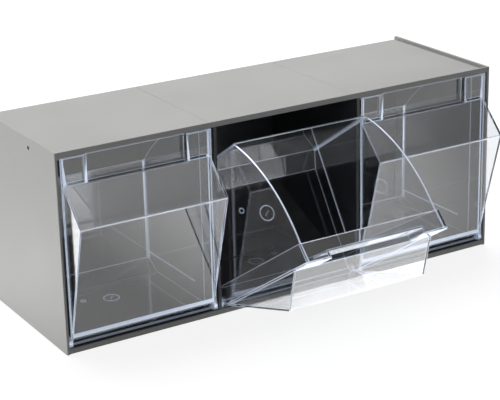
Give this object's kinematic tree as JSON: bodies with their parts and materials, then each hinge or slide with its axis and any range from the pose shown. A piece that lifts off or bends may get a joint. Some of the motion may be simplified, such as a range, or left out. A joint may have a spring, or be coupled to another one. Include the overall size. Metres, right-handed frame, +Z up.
{
  "type": "tilt-out bin cabinet",
  "caption": "Stackable grey plastic cabinet with a row of clear tilt-out bins that hinge at the bottom, the middle one open.",
  "frame": {"origin": "centre of the cabinet's footprint, on the surface that it rests on", "axes": "+X to the right along the row of bins, +Y to the back, +Z up; the bins tilt out towards -Y"},
  "size_m": [0.6, 0.3784, 0.24],
  "materials": {
    "housing_grey": "fine grained moulded plastic, mid grey",
    "inner_grey": "fine grained moulded plastic, very dark grey",
    "pin_grey": "smooth moulded plastic",
    "clear_styrene": "clear glossy moulded plastic"
  },
  "bodies": {
    "housing": {"side_panel_left": "housing_grey", "side_panel_right": "housing_grey", "top_panel": "housing_grey", "bottom_panel": "housing_grey", "back_panel": "inner_grey", "divider_left": "inner_grey", "divider_right": "inner_grey", "hinge_pin_outer_left": "pin_grey", "hinge_pin_divider_left": "pin_grey", "hinge_pin_divider_right": "pin_grey", "hinge_pin_outer_right": "pin_grey"},
    "bin_left": {"hood_left": "clear_styrene", "tray_left": "clear_styrene"},
    "bin_middle": {"hood_middle": "clear_styrene", "tray_middle": "clear_styrene"},
    "bin_right": {"hood_right": "clear_styrene", "tray_right": "clear_styrene"}
  },
  "joints": [
    {"name": "bin_left_hinge", "type": "hinge", "parent": "housing", "child": "bin_left", "pos_m": [-0.1992, -0.0905, 0.0125], "axis": [1, 0, 0], "range_deg": [0, 57.5]},
    {"name": "bin_middle_hinge", "type": "hinge", "parent": "housing", "child": "bin_middle", "pos_m": [0, -0.0905, 0.0125], "axis": [1, 0, 0], "range_deg": [-57.5, 0]},
    {"name": "bin_right_hinge", "type": "hinge", "parent": "housing", "child": "bin_right", "pos_m": [0.1992, -0.0905, 0.0125], "axis": [1, 0, 0], "range_deg": [0, 57.5]}
  ]
}
